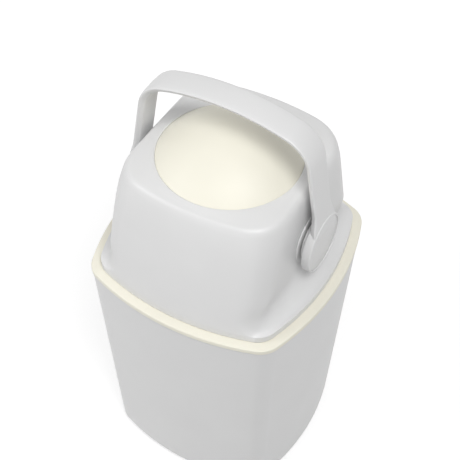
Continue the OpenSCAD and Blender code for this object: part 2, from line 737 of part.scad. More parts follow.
// Stations of the strap from the foot of the right leg over the top: [[x, z], normal angle]
function leg_station(z) = [[leg_top[0] + (leg_top[1] - z) * tan(leg_splay), z], leg_splay];
leg_z = concat(
  [for (i = [0 : 9]) axle_z + foot_rise + (flare_rise - foot_rise) * i / 9],
  [(axle_z + flare_rise + leg_top[1]) / 2]
);
bend_steps = 9;
top_steps = 5;
right_half = concat(
  [for (z = leg_z) leg_station(z)],
  [for (i = [0 : bend_steps]) let (a = leg_splay + (corner_angle - leg_splay) * i / bend_steps)
    [on_arc(corner_mid, handle_corner_r, a), a]],
  [for (i = [1 : top_steps]) let (a = corner_angle + (90 - corner_angle) * i / top_steps)
    [on_arc(top_centre, handle_top_r, a), a]]
);
stations = concat(
  right_half,
  [for (i = [len(right_half) - 2 : -1 : 0]) let (s = right_half[i]) [[-s[0][0], s[0][1]], 180 - s[1]]]
);

// Width of the strap by its height: it flares into the discs
function blend(t) = let (u = max(0, min(1, t))) u * u * (3 - 2 * u);
function strap_width(z) = strap_w + (flare_w - strap_w) * pow(blend((flare_rise - z + axle_z) / 27), 1.5);

// One section of the strap, as [distance outwards, y]
crown_points = 6;
function strap_section(w) =
  let (h = w / 2, r = strap_round, inner = h - strap_bevel)
  concat(
    [[0, inner - r], [0, r - inner], [r * 0.7, -inner], [strap_t - r * 1.4, 0.2 - h]],
    [for (i = [0 : crown_points]) let (a = 180 - 180 * i / crown_points)
      [strap_t - (i == 0 || i == crown_points ? r * 0.5 : 0) + strap_crown * sin(a), h * cos(a)]],
    [[strap_t - r * 1.4, h - 0.2], [r * 0.7, inner]]
  );

function strap_ring(s) =
  [for (q = strap_section(strap_width(s[0][1])))
    [s[0][0] + q[0] * cos(s[1]), q[1], s[0][1] + q[0] * sin(s[1])]];

module handle() {
  color(white_plastic) difference() {
    union() {
      loft([for (s = stations) strap_ring(s)]);
      for (side = [-1, 1]) handle_disc(side);
    }
    for (side = [-1, 1]) {
      along_x(cap_r + seat, side * (disc_face - cap_t - cap_recess), side * (disc_face + 20));
      translate([side > 0 ? disc_in - 1 : -(disc_in + drive_len + seat),
        -drive_w / 2 - seat, axle_z - drive_w / 2 - seat])
        cube([drive_len + seat + 1, drive_w + 2 * seat, drive_w + 2 * seat]);
      along_x(screw_r + seat, side * disc_in, side * disc_face);
      along_x(head_r + seat, side * (cap_seat - head_h), side * disc_face);
      disc_pocket(side);
    }
  }
}

// A disc with a rounded outer edge

module handle_disc(side) {
  steps = 4;
  edge = [for (i = [0 : steps]) let (a = 90 * i / steps)
    [disc_r - disc_round + disc_round * cos(a), disc_t - disc_round + disc_round * sin(a)]];
  translate([side * disc_in, 0, axle_z]) rotate([0, side * 90, 0])
    rotate_extrude() polygon(concat([[0, 0], [disc_r, 0]], edge, [[0, disc_t]]));
}

// A ring-shaped hollow behind each cap, round the socket
cap_seat = disc_face - cap_t - cap_recess;

module disc_pocket(side) {
  difference() {
    along_x(cap_r - 3, side * (disc_in + socket_wall), side * cap_seat);
    along_x(drive_w * 0.71 + socket_wall, side * disc_in, side * disc_face);
  }
}

module handle_screws() {
  color(steel) for (side = [-1, 1]) {
    along_x(screw_r, side * (disc_in + drive_len - 9), side * (cap_seat - head_h));
    along_x(head_r, side * (cap_seat - head_h), side * (cap_seat - 0.2));
  }
}

module cap(side) {
  color(white_plastic) along_x(cap_r, side * cap_seat, side * (disc_face - cap_recess));
}

module cap_left() { cap(-1); }
module cap_right() { cap(1); }

// ---- Piston ----

piston_r = bore_r - piston_gap;
piston_half = piston_h / 2;
pillar_ring = piston_r - pillar_inset;
flat_r = piston_r - flat_inset;
weight_r = piston_r - weight_inset;

weight_t = 2 * (piston_half - piston_dish - piston_wall - seat);

// One shell of the piston: a rim and a dished face; side is -1 for the front
module piston_shell(side) {
  w = piston_wall;
  face_in = piston_half - piston_dish - w;
  flip = side < 0 ? 1 : 0;
  color(cream_plastic) difference() {
    union() {
      about_bore() mirror([0, flip]) polygon([
        [0, piston_half - piston_dish], [flat_r, piston_half - piston_dish], [piston_r - piston_rim, piston_half],
        [piston_r - 1, piston_half], [piston_r, piston_half - 1], [piston_r, groove_h / 2],
        [piston_r - groove_d, groove_h / 2], [piston_r - groove_d, 0], [piston_r - groove_d - w, 0],
        [piston_r - groove_d - w, piston_half - w], [piston_r - piston_rim - 0.6, piston_half - w],
        [flat_r + 0.6, face_in], [0, face_in]
      ]);
      about_bore() mirror([0, flip]) translate([weight_r + seat, 0]) square([w, face_in + w / 2]);
      for (a = pillar_angles) pillar(a) along_y(pillar_r, 0, side * pillar_top);
    }
    for (a = pillar_angles) pillar(a) {
      if (side < 0) along_y(screw_r, 1, -pillar_deep - 1);
      if (side > 0) along_y(screw_r + seat, -1, piston_half);
      if (side > 0) along_y(head_r + seat, pillar_seat, piston_half);
    }
  }
}

pillar_angles = [90, 210, 330];
pillar_top = piston_half - pillar_drop;

module pillar(a) {
  translate([pillar_ring * cos(a), 0, pillar_ring * sin(a)]) children();
}

module piston_front() { piston_shell(-1); }
module piston_back() { piston_shell(1); }

module piston_weight() {
  color(steel) along_y(weight_r, -weight_t / 2, weight_t / 2);
}

module piston_wiper() {
  color(dark_rubber) about_bore() translate([piston_r - groove_d + seat, -groove_h / 2 + seat])
    square([groove_d + 0.2 - seat, groove_h - 2 * seat]);
}

module piston_screws() {
  color(steel) for (a = pillar_angles) pillar(a) {
    along_y(screw_r, -pillar_deep, pillar_seat);
    along_y(head_r, pillar_seat, pillar_seat + head_h);
  }
}

bin_shell();
bag_ring();
hinge_pin();
lid_shell();
drum_housing();
inlet_seal();
outlet_seal();
lid_gasket();
bush_left();
bush_right();
housing_screws();
drum_upper();
drum_lower();
drum_liner();
drum_screws();
spindle_left();
spindle_right();
spindle_screws();
handle();
handle_screws();
cap_left();
cap_right();
piston_front();
piston_back();
piston_weight();
piston_wiper();
piston_screws();
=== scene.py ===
# %% [markdown]
# # A nappy bin with a turning drum
#
# The real object is a tall plastic bin. A cream ring clamps the bag to its rim, a white lid stands on
# the ring, and a cream drum turns inside the lid when the strap handle is swung over. All of it is
# injection moulded, so every surface is smooth, thin-walled and softly rounded.
#
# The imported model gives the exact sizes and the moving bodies. This lesson adds the smooth outer skins
# that a moulder would polish into the tool, and the finish of every piece.

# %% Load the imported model
import json
import math

import bmesh
import bpy
from mathutils import Matrix, Vector


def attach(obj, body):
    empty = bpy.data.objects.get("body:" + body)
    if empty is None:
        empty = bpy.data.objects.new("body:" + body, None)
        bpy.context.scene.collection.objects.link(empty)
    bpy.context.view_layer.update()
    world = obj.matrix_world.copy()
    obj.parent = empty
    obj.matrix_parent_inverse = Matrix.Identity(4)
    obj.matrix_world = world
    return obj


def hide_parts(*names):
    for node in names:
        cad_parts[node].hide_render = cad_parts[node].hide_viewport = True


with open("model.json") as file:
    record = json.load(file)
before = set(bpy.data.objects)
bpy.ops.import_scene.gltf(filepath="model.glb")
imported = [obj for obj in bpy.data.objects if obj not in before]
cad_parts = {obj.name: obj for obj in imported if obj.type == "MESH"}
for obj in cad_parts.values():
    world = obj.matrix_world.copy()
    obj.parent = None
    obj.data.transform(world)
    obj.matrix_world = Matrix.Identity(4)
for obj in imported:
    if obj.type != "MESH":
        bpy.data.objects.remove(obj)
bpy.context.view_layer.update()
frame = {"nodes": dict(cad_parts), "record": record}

print("nodes:", len(frame["nodes"]))

# %% [markdown]
# ## Units and colours
#
# Blender works in metres, and a maker thinks in millimetres, so sizes are written in millimetres and
# scaled once. Colours are written as the hex values that a colour card gives. Blender mixes light in
# linear values, so one function turns each hex colour to linear.

# %% Units and colours
MM = 0.001


def linear(hex_colour):
    """Linear RGBA for an sRGB hex colour such as '#dcdcdc'."""
    channels = [int(hex_colour[i:i + 2], 16) / 255 for i in (1, 3, 5)]
    return [c / 12.92 if c <= 0.04045 else ((c + 0.055) / 1.055) ** 2.4 for c in channels] + [1.0]


print("white plastic in linear light:", [round(c, 3) for c in linear("#dcdcdc")])

# %% [markdown]
# ## Helpers for shader nodes
#
# A procedural material is a small network of nodes. The first helper adds one node, sets its properties
# and its sockets, and links any socket that is given another node's output instead of a number. The
# second starts a material, and hands over its tree and the shader that every material here ends in.

# %% Add a node, start a material


def add(tree, kind, sockets=None, **settings):
    """Adds a node, sets its properties, and sets or links its input sockets."""
    node = tree.nodes.new(kind)
    for name, value in settings.items():
        setattr(node, name, value)
    for name, value in (sockets or {}).items():
        socket = node.inputs[name]
        if isinstance(value, bpy.types.NodeSocket):
            tree.links.new(value, socket)
        else:
            socket.default_value = value
    return node


def start_material(name):
    """A new material with nodes, its tree and its shader."""
    material = bpy.data.materials.new(name)
    material.use_nodes = True
    tree = material.node_tree
    return material, tree, tree.nodes["Principled BSDF"]


print("helpers: add, start_material")

# %% [markdown]
# ## Moulded plastic
#
# Polypropylene and ABS housings come out of a steel tool whose faces are spark eroded to a fine, even
# grain. The eye reads that as a soft satin: a broad highlight, with a faint sparkle of grain close up,
# and very slight cloudiness where the plastic flowed. So the material has a colour that drifts by a
# hair over some 70 mm, a grain of about 0.7 mm in the bump, and a roughness that follows the grain.
# Real grain is finer, about 0.1 mm, and is drawn as coarse as it needs to be to show. The nylon of the
# bushes and spindles is moulded in the same way, and looks a shade yellower and waxier.

# %% Moulded plastic
FLOW_MM = 70
GRAIN_STRENGTH = 0.35
PLASTIC_IOR = 1.49


def moulded_plastic(name, colour, drift, roughness, grain_mm, depth_mm):
    """A moulded plastic: its colour drifts a little, and its face has a spark-eroded grain."""
    material, tree, shader = start_material(name)
    place = add(tree, "ShaderNodeTexCoord").outputs["Object"]
    flow = add(tree, "ShaderNodeTexNoise",
               {"Vector": place, "Scale": 1 / (FLOW_MM * MM), "Detail": 3.0})
    blend = add(tree, "ShaderNodeMapRange",
                {"Value": flow.outputs["Fac"], "From Min": 0.35, "From Max": 0.65})
    tint = add(tree, "ShaderNodeMix", {"Factor": blend.outputs["Result"]}, data_type="RGBA")
    tint.inputs[6].default_value = linear(colour)
    tint.inputs[7].default_value = linear(drift)
    grain = add(tree, "ShaderNodeTexNoise",
                {"Vector": place, "Scale": 1 / (grain_mm * MM), "Detail": 2.0})
    satin = add(tree, "ShaderNodeMapRange",
                {"Value": grain.outputs["Fac"], "From Min": 0.3, "From Max": 0.7,
                 "To Min": roughness - 0.04, "To Max": roughness + 0.05})
    bump = add(tree, "ShaderNodeBump",
               {"Height": grain.outputs["Fac"], "Strength": GRAIN_STRENGTH, "Distance": depth_mm * MM})
    tree.links.new(tint.outputs[2], shader.inputs["Base Color"])
    tree.links.new(satin.outputs["Result"], shader.inputs["Roughness"])
    tree.links.new(bump.outputs["Normal"], shader.inputs["Normal"])
    shader.inputs["IOR"].default_value = PLASTIC_IOR
    return material


white_pp = moulded_plastic("white_polypropylene", "#dcdcdc", "#dadada", 0.38, 0.7, 0.03)
cream_abs = moulded_plastic("cream_abs", "#ece9db", "#e9e6d8", 0.5, 0.9, 0.02)
grey_abs = moulded_plastic("grey_abs", "#bcbec0", "#b7b9bb", 0.45, 0.7, 0.03)
natural_nylon = moulded_plastic("natural_nylon", "#e2ddcb", "#dad4bf", 0.4, 1.2, 0.02)
print("plastics:", white_pp.name, cream_abs.name, grey_abs.name, natural_nylon.name)

# %% [markdown]
# ## Moulded rubber
#
# The seals and the piston's wiper are moulded thermoplastic rubber: dark, matt, and a little dusty on
# the surface. Patches of dust some 6 mm wide lighten the colour and dull the shine.

# %% Moulded rubber
DUST_MM = 6


def moulded_rubber(name, colour, dusty):
    """A dark elastomer with a dry, slightly dusty surface."""
    material, tree, shader = start_material(name)
    place = add(tree, "ShaderNodeTexCoord").outputs["Object"]
    dust = add(tree, "ShaderNodeTexNoise",
               {"Vector": place, "Scale": 1 / (DUST_MM * MM), "Detail": 5.0})
    cover = add(tree, "ShaderNodeMapRange",
                {"Value": dust.outputs["Fac"], "From Min": 0.45, "From Max": 0.7})
    tint = add(tree, "ShaderNodeMix", {"Factor": cover.outputs["Result"]}, data_type="RGBA")
    tint.inputs[6].default_value = linear(colour)
    tint.inputs[7].default_value = linear(dusty)
    bump = add(tree, "ShaderNodeBump",
               {"Height": dust.outputs["Fac"], "Strength": 0.3, "Distance": 0.05 * MM})
    rough = add(tree, "ShaderNodeMapRange",
                {"Value": dust.outputs["Fac"], "To Min": 0.6, "To Max": 0.85})
    tree.links.new(tint.outputs[2], shader.inputs["Base Color"])
    tree.links.new(rough.outputs["Result"], shader.inputs["Roughness"])
    tree.links.new(bump.outputs["Normal"], shader.inputs["Normal"])
    return material


dark_rubber = moulded_rubber("dark_elastomer", "#3b3c3d", "#57585a")
print("rubber:", dark_rubber.name)

# %% [markdown]
# ## Plated steel
#
# The screws, the hinge pin and the weight are zinc-plated steel. The plating is bright when it is new
# and soon has a duller bloom in patches of a few millimetres, which are both darker and rougher.

# %% Plated steel
BLOOM_MM = 3


def plated_steel(name, colour, bloom):
    """Zinc-plated steel: bright metal with patches of duller bloom."""
    material, tree, shader = start_material(name)
    place = add(tree, "ShaderNodeTexCoord").outputs["Object"]
    patch = add(tree, "ShaderNodeTexNoise",
                {"Vector": place, "Scale": 1 / (BLOOM_MM * MM), "Detail": 4.0})
    tint = add(tree, "ShaderNodeMix", {"Factor": patch.outputs["Fac"]}, data_type="RGBA")
    tint.inputs[6].default_value = linear(colour)
    tint.inputs[7].default_value = linear(bloom)
    rough = add(tree, "ShaderNodeMapRange",
                {"Value": patch.outputs["Fac"], "To Min": 0.22, "To Max": 0.45})
    tree.links.new(tint.outputs[2], shader.inputs["Base Color"])
    tree.links.new(rough.outputs["Result"], shader.inputs["Roughness"])
    shader.inputs["Metallic"].default_value = 1.0
    return material


zinc_steel = plated_steel("zinc_plated_steel", "#b9bcc0", "#8e9296")
print("steel:", zinc_steel.name)

# %% [markdown]
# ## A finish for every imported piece
#
# The record names a material slot for each piece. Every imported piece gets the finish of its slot, also
# those that only show when the lid is open, and the skins made below take theirs from the same table.

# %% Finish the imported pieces
FINISH = {
    "white_plastic": white_pp,
    "cream_plastic": cream_abs,
    "grey_plastic": grey_abs,
    "natural_nylon": natural_nylon,
    "dark_rubber": dark_rubber,
    "steel": zinc_steel,
}
for part in frame["record"]["subparts"]:
    mesh = frame["nodes"][part["node"]].data
    mesh.materials.clear()
    mesh.materials.append(FINISH[part["material_slot"]])

# %% [markdown]
# ## Camera
#
# The bin is seen from above its front right corner with a long lens, so its sides stay nearly parallel.
# The camera looks down at 48.6 degrees from 29.8 degrees to the right of the front, and its three axes
# are built from those two angles and a slight roll.

# %% Camera
TURN, TILT, ROLL = math.radians(29.76), math.radians(48.58), 0.0118
CAMERA_AT = (0.40392, -0.70429, 1.23646)
LENS_MM, SENSOR_MM = 89.4, 36
back = Vector((math.sin(TURN) * math.cos(TILT), -math.cos(TURN) * math.cos(TILT), math.sin(TILT)))
right = Vector((math.cos(TURN), math.sin(TURN), 0))
up = back.cross(right)
camera_x = math.cos(ROLL) * right + math.sin(ROLL) * up
camera_y = -math.sin(ROLL) * right + math.cos(ROLL) * up
camera_data = bpy.data.cameras.new("camera")
camera_data.lens = LENS_MM
camera_data.sensor_width = SENSOR_MM
camera = bpy.data.objects.new("camera", camera_data)
bpy.context.scene.collection.objects.link(camera)
axes = Matrix((camera_x, camera_y, back)).transposed().to_4x4()
camera.matrix_world = Matrix.Translation(CAMERA_AT) @ axes
bpy.context.scene.camera = camera
print("camera at", [round(v, 3) for v in camera.location])

# %% [markdown]
# ## Outlines
#
# Seen from above, the bin, the ring and the lid are all squares with bowed sides and round corners. An
# outline is built from quarters, each made of three arcs that meet without a kink: half a side, a
# corner, half the next side. The lid's front and back differ, so a whole outline takes two quarters.

# %% Outlines
RIM, RIM_BOW, RIM_CORNER = 130, 285, 28
SIDE_STEPS, CORNER_STEPS = 8, 12


def quarter(a, side, b, face, corner):
    """A quarter outline from +X to +Y: half sizes a and b, radii of the bowed sides and the corner."""
    u = Vector((side - a, face - b))
    reach = u.length
    along = ((side - corner) ** 2 - (face - corner) ** 2 + reach ** 2) / (2 * reach)
    across = math.sqrt((side - corner) ** 2 - along ** 2)
    centre = Vector((a - side, 0)) + Vector((u.x, -u.y)) * along / reach
    centre += Vector((u.y, u.x)) * across / reach
    start = math.atan2(centre.y, centre.x + side - a)
    end = math.atan2(centre.y + face - b, centre.x)
    points = []
    for i in range(SIDE_STEPS + 1):
        t = start * i / SIDE_STEPS
        points.append((a - side + side * math.cos(t), side * math.sin(t)))
    for i in range(1, CORNER_STEPS + 1):
        t = start + (end - start) * i / CORNER_STEPS
        points.append((centre.x + corner * math.cos(t), centre.y + corner * math.sin(t)))
    for i in range(1, SIDE_STEPS + 1):
        t = end + (math.pi / 2 - end) * i / SIDE_STEPS
        points.append((face * math.cos(t), b - face + face * math.sin(t)))
    return points


def whole(back, front):
    """A closed outline, counter-clockwise from +X, from its back and front quarters."""
    right_back = back[:-1]
    left_back = [(-x, y) for x, y in reversed(back[1:])]
    left_front = [(-x, -y) for x, y in front[:-1]]
    right_front = [(x, -y) for x, y in reversed(front[1:])]
    return right_back + left_back + left_front + right_front


def bowed_square(half, bow, corner):
    """A square outline with bowed sides and round corners, in mm."""
    one = quarter(half, bow, half, bow, corner)
    return whole(one, one)


print("points in an outline:", len(bowed_square(RIM, RIM_BOW, RIM_CORNER)))

# %% [markdown]
# ## Skins from rings
#
# A skin passes through a stack of outlines. The first ring is drawn, and every next one is extruded
# from it and moved into place, which keeps the quads in clean columns that shade smoothly. A skin ends
# in two flat caps, or its last ring joins its first, as on a wall that runs up outside and down inside.

# %% Skins from rings


def arc(steps, first=0, last=90):
    """Angles along an arc, in radians."""
    return [math.radians(first + (last - first) * i / steps) for i in range(steps + 1)]


def skin(bm, rings, ends):
    """Draws the first ring, extrudes the others from it, and leaves the ends 'capped' or 'joined'."""
    loop = [bm.verts.new(Vector(p) * MM) for p in rings[0]]
    count = len(loop)
    edges = [bm.edges.new((loop[i], loop[(i + 1) % count])) for i in range(count)]
    first = list(edges)
    for ring in rings[1:]:
        geom = bmesh.ops.extrude_edge_only(bm, edges=edges)["geom"]
        made = {g for g in geom if isinstance(g, bmesh.types.BMVert)}
        loop = [next(e.other_vert(v) for e in v.link_edges if e.other_vert(v) in made) for v in loop]
        for vert, point in zip(loop, ring):
            vert.co = Vector(point) * MM
        edges = [bm.edges.get((loop[i], loop[(i + 1) % count])) for i in range(count)]
    if ends == "joined":
        bmesh.ops.bridge_loops(bm, edges=first + edges)
    else:
        bmesh.ops.edgeloop_fill(bm, edges=first)
        bmesh.ops.edgeloop_fill(bm, edges=edges)


def piece(bm, name, body, slot, replaces, sharp=35):
    """Makes a riding object of a bmesh, smooth except at edges sharper than the angle."""
    bmesh.ops.recalc_face_normals(bm, faces=bm.faces)
    mesh = bpy.data.meshes.new(name)
    bm.to_mesh(mesh)
    bm.free()
    for polygon in mesh.polygons:
        polygon.use_smooth = True
    mesh.set_sharp_from_angle(angle=math.radians(sharp))
    mesh.materials.append(FINISH[slot])
    made = bpy.data.objects.new(name, mesh)
    bpy.context.scene.collection.objects.link(made)
    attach(made, body)
    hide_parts(*replaces)
    print(f"{name}: {len(mesh.polygons)} faces on {body}")


print("a quarter turn in 3 steps:", [round(a, 2) for a in arc(3)])

# %% [markdown]
# ## Bin body
#
# The body is one deep moulding with 3 degrees of draft, a wall of 2.8 mm and a rounded foot that hides
# a shallow recess. The section runs from the recess up the outside, over the rim and down the inside.

# %% Bin body
BIN_H, BIN_WALL, FOOT_R, FOOT_RIM, FOOT_HOLLOW = 292, 2.8, 14, 8, 4
RIM_STEP, FOOT_EASE, RIM_EASE, BIN_LEAST_R = 1, 0.6, 0.8, 2
BIN_HALF = RIM - RIM_STEP
DRAFT = math.tan(math.radians(3))


def bin_ring(z, inset=0, height=None):
    """The bin's outline at a height, moved inwards."""
    half = BIN_HALF - (BIN_H - z) * DRAFT
    k = half / BIN_HALF
    outline = bowed_square(half - inset, RIM_BOW * k - inset, max(BIN_LEAST_R, RIM_CORNER * k - inset))
    return [(x, y, z if height is None else height) for x, y in outline]


foot_in = FOOT_R + FOOT_RIM
rings = [bin_ring(0, foot_in + FOOT_HOLLOW, FOOT_HOLLOW), bin_ring(0, foot_in + FOOT_EASE, FOOT_EASE),
         bin_ring(0, foot_in)]
for a in arc(10):
    rings.append(bin_ring(FOOT_R * (1 - math.cos(a)), FOOT_R * (1 - math.sin(a))))
rings += [bin_ring(BIN_H * t) for t in (0.2, 0.4, 0.6, 0.8)]
rings += [bin_ring(BIN_H - RIM_EASE), bin_ring(BIN_H, RIM_EASE), bin_ring(BIN_H, BIN_WALL)]
inner_r, floor_z = FOOT_R - BIN_WALL, FOOT_HOLLOW + BIN_WALL
for a in reversed(arc(8)):
    rings.append(bin_ring(floor_z + inner_r * (1 - math.cos(a)), BIN_WALL + inner_r * (1 - math.sin(a))))
bm = bmesh.new()
skin(bm, rings, "capped")
piece(bm, "bin_body", "bin", "white_plastic", ["bin_shell"])

# %% [markdown]
# ## Bag ring
#
# The ring is a closed section: a rounded band on the rim, a flat ledge with a lip under the lid, and a
# skirt that hangs inside the bin and holds the bag. It is one skin whose last ring joins its first. The
# hairline of 0.3 mm under the band is the joint that shows between ring and bin.

# %% Bag ring
RING_H, RING_LEDGE, RING_LIP, RING_WALL, RING_SKIRT, RING_ROUND = 6.5, 10.5, 7.5, 2.4, 22, 1.3
LEDGE_MID, LIP_EASE, SKIRT_ROOM, HAIRLINE = 9, 0.6, 0.8, 0.3
skirt = RIM_STEP + BIN_WALL + SKIRT_ROOM
skirt_foot = skirt + RING_SKIRT * DRAFT
lip_in, lip_under = RING_LEDGE + RING_LIP, RING_H - RING_WALL
section = [(RING_ROUND * (1 - math.cos(a)), HAIRLINE + RING_ROUND * (1 - math.sin(a)))
           for a in reversed(arc(5))]
section += [(RING_ROUND * (1 - math.cos(a)), RING_H - RING_ROUND * (1 - math.sin(a))) for a in arc(5)]
section += [(LEDGE_MID, RING_H), (lip_in - LIP_EASE, RING_H), (lip_in, RING_H - LIP_EASE),
            (lip_in, lip_under), (skirt + RING_WALL, lip_under),
            (skirt_foot + RING_WALL, -RING_SKIRT), (skirt_foot, -RING_SKIRT), (skirt, HAIRLINE)]
rings = []
for inset, z in section:
    outline = bowed_square(RIM - inset, RIM_BOW - inset, RIM_CORNER - inset)
    rings.append([(x, y, BIN_H + z) for x, y in outline])
bm = bmesh.new()
skin(bm, rings, "joined")
print("points in the ring's section:", len(section))

# %% [markdown]
# ### Hinge barrels on the ring
#
# Behind the lid, short barrels stand on the ring's ledge and carry the steel pin. Each barrel is a
# round bar with softly bevelled ends, and its foot is a small block that runs down into the ledge.

# %% Bars and blocks
EASE = 0.4


def edges_of(faces):
    """All edges of the given faces, once each."""
    return list({e for f in faces for e in f.edges})


def ease(bm, faces, segments):
    """Bevels the edges of the given faces."""
    bmesh.ops.bevel(bm, geom=edges_of(faces), offset=EASE * MM, segments=segments, affect="EDGES",
                    profile=0.5, material=-1)


def bar(bm, radius, x0, x1, y, z):
    """A round bar along X with bevelled rims."""
    place = Matrix.Translation(Vector(((x0 + x1) / 2, y, z)) * MM) @ Matrix.Rotation(math.pi / 2, 4, "Y")
    made = bmesh.ops.create_cone(bm, cap_ends=True, segments=48, radius1=radius * MM, radius2=radius * MM,
                                 depth=abs(x1 - x0) * MM, matrix=place)
    ease(bm, {f for v in made["verts"] for f in v.link_faces if len(f.verts) > 4}, 3)


def block(bm, low, high):
    """A bevelled block between two corners."""
    size, mid = Vector(high) - Vector(low), (Vector(high) + Vector(low)) / 2
    place = Matrix.Translation(mid * MM) @ Matrix.Diagonal((*(size * MM), 1))
    made = bmesh.ops.create_cube(bm, size=1, matrix=place)
    ease(bm, {f for v in made["verts"] for f in v.link_faces}, 2)


print("bevel of bars and blocks:", EASE, "mm")

# %% Hinge barrels
BARREL_R, PIN_LEN, KNUCKLE, MIDDLE, GAP = 3.5, 62, 15, 15, 0.3
BARREL_INSET, BARREL_LIFT, LEG_HALF, SUNK = 2, 1, 1.5, 1
HINGE_Y, HINGE_Z = RIM - BARREL_INSET - BARREL_R, BIN_H + RING_H + BARREL_R + BARREL_LIFT
lid_in = MIDDLE / 2 + GAP
outer_in = lid_in + KNUCKLE + GAP
for x0, x1 in ((-MIDDLE / 2, MIDDLE / 2), (outer_in, PIN_LEN / 2), (-PIN_LEN / 2, -outer_in)):
    bar(bm, BARREL_R, x0, x1, HINGE_Y, HINGE_Z)
    block(bm, (x0, HINGE_Y - LEG_HALF, BIN_H + RING_H - SUNK), (x1, HINGE_Y + LEG_HALF, HINGE_Z - SUNK))
piece(bm, "bag_ring_skin", "ring", "cream_plastic", ["bag_ring"])

# %% [markdown]
# ## Lid
#
# The lid is the main form. Its foot follows the ring, its left and right sides draw in quickly through
# a cove to a narrow waist, and its front and back lean in more slowly. The corners grow rounder on the
# way up. Near the top the walls roll in over 30 mm of height, slowly at first and then quickly, which
# gives the broad highlight of a soft crown. The top is almost flat and ends in a round mouth. Every
# level is the same outline with other sizes, so the skin from rings fits it well. The heights of the lid
# are measured from the bin's rim.

# %% Lid sizes
LID_HALF = RIM - RING_LEDGE
# heights: foot and top of the skirt, top of the cove, foot of the crown, mouth
SKIRT_0, SKIRT_1, COVE_TOP, CROWN_0, MOUTH_Z = 7, 15, 46, 127, 139
CROWN_R, MOUTH_R, LID_WALL, WAIST = 10, 75.2, 2.6, 94.6
# corner radii: at the foot, at the cove's top, at the crown's front and back, and the least allowed
CORNER_FOOT, CORNER_MID, CORNER_TOP, CORNER_BACK, LID_LEAST_R = 24.6, 30, 41, 49, 3
# radii of the bowed flanks and faces, and how far the flanks draw in for each mm of height
FLANK_R, FACE_R, FLANK_LEAN = 4000, 285, 0.02
# half depths where the crown starts, and how quickly the front's lean grows
TOP_FRONT, TOP_BACK, FRONT_CURVE = 92.3, 103.8, 0.000673
WALL_H = CROWN_0 - SKIRT_1
FRONT_LEAN = (LID_HALF - TOP_FRONT) / WALL_H - FRONT_CURVE * WALL_H
BACK_LEAN = (LID_HALF - TOP_BACK) / WALL_H
DRUM_R, AXLE = 102, 69
print("the front leans", round(math.degrees(math.atan(FRONT_LEAN)), 1), "degrees at its foot")

# %% Roll of the crown
ROLL_0, ROLL_1, ROLL_POWER = 107, 137, 3.2
side_roll = CROWN_R - FLANK_LEAN * CROWN_R
front_roll = CROWN_R - (FRONT_LEAN + FRONT_CURVE * (2 * WALL_H + CROWN_R)) * CROWN_R
back_roll = CROWN_R - BACK_LEAN * CROWN_R


def crown_roll(z):
    """How far the walls have rolled in at a height, from 0 to 1."""
    t = min(1, max(0, (z - ROLL_0) / (ROLL_1 - ROLL_0)))
    return 1 - (1 - t ** ROLL_POWER) ** (1 / ROLL_POWER)


print("rolled in at the crown's foot:", round(crown_roll(CROWN_0), 3))

# %% Lid outline at a level


def lid_level(z, inset=0.0, height=None):
    """The lid's outline at a height above the rim, moved inwards."""
    over = max(0, z - SKIRT_1)
    t = min(1, over / (COVE_TOP - SKIRT_1))
    cove = (LID_HALF - WAIST) * (1 - math.sqrt(1 - (1 - t) ** 2))
    roll = crown_roll(z)
    side = LID_HALF
    if z > SKIRT_1:
        side = WAIST + cove - FLANK_LEAN * max(0, z - COVE_TOP) - side_roll * roll
    front = LID_HALF - FRONT_LEAN * over - FRONT_CURVE * over * over - front_roll * roll
    back = LID_HALF - BACK_LEAN * over - back_roll * roll
    side, front, back = side - inset, front - inset, back - inset
    rise = min(1, max(0, (z - COVE_TOP) / (CROWN_0 - COVE_TOP)))
    front_corner = CORNER_FOOT + (CORNER_MID - CORNER_FOOT) * t + (CORNER_TOP - CORNER_MID) * rise ** 3
    back_corner = CORNER_FOOT + (CORNER_BACK - CORNER_FOOT) * min(1, over / WALL_H)
    flank = 1 / ((1 - t) / (LID_HALF + RIM_BOW - RIM) + t / FLANK_R) - inset
    outline = whole(
        quarter(side, flank, back, FACE_R - inset, max(LID_LEAST_R, back_corner - inset)),
        quarter(side, flank, front, FACE_R - inset, max(LID_LEAST_R, front_corner - inset)))
    level = z if height is None else height
    return [(x, y, BIN_H + level) for x, y in outline]


def toward_mouth(level, radius, z, share=1.0):
    """The points of a level moved part of the way to a circle, and to a height."""
    moved = []
    for x, y, _ in level:
        reach = math.hypot(x, y)
        k = (reach + (radius - reach) * share) / reach
        moved.append((x * k, y * k, BIN_H + z))
    return moved


print("waist half width:", round(max(x for x, y, z in lid_level(COVE_TOP)), 1), "mm")

# %% Lid skin
SKIRT_EASE, MOUTH_EASE, DRUM_GAP = 0.5, 1, 1
COVE_STEPS = (0.01, 0.03, 0.06, 0.1, 0.15, 0.21, 0.28, 0.37, 0.47, 0.58, 0.7, 0.85, 1)
COVE_H, FLANK_H = COVE_TOP - SKIRT_1, CROWN_0 - COVE_TOP
rings = [lid_level(SKIRT_0, SKIRT_EASE), lid_level(SKIRT_0 + SKIRT_EASE), lid_level(SKIRT_1)]
rings += [lid_level(SKIRT_1 + t * COVE_H) for t in COVE_STEPS]
rings += [lid_level(COVE_TOP + t * FLANK_H) for t in (0.125, 0.25, 0.375, 0.5, 0.625, 0.75, 0.875)]
rings += [lid_level(CROWN_0 + CROWN_R * math.sin(a)) for a in arc(12)[1:]]
top, top_z = rings[-1], CROWN_0 + CROWN_R
for share in (0.2, 0.4, 0.6, 0.8):
    rings.append(toward_mouth(top, MOUTH_R + MOUTH_EASE, top_z + share * (MOUTH_Z - top_z), share))
for a in arc(4, 90, 0):
    radius = MOUTH_R + MOUTH_EASE * (1 - math.cos(a))
    rings.append(toward_mouth(top, radius, MOUTH_Z - MOUTH_EASE * (1 - math.sin(a))))
print("rings outside:", len(rings))

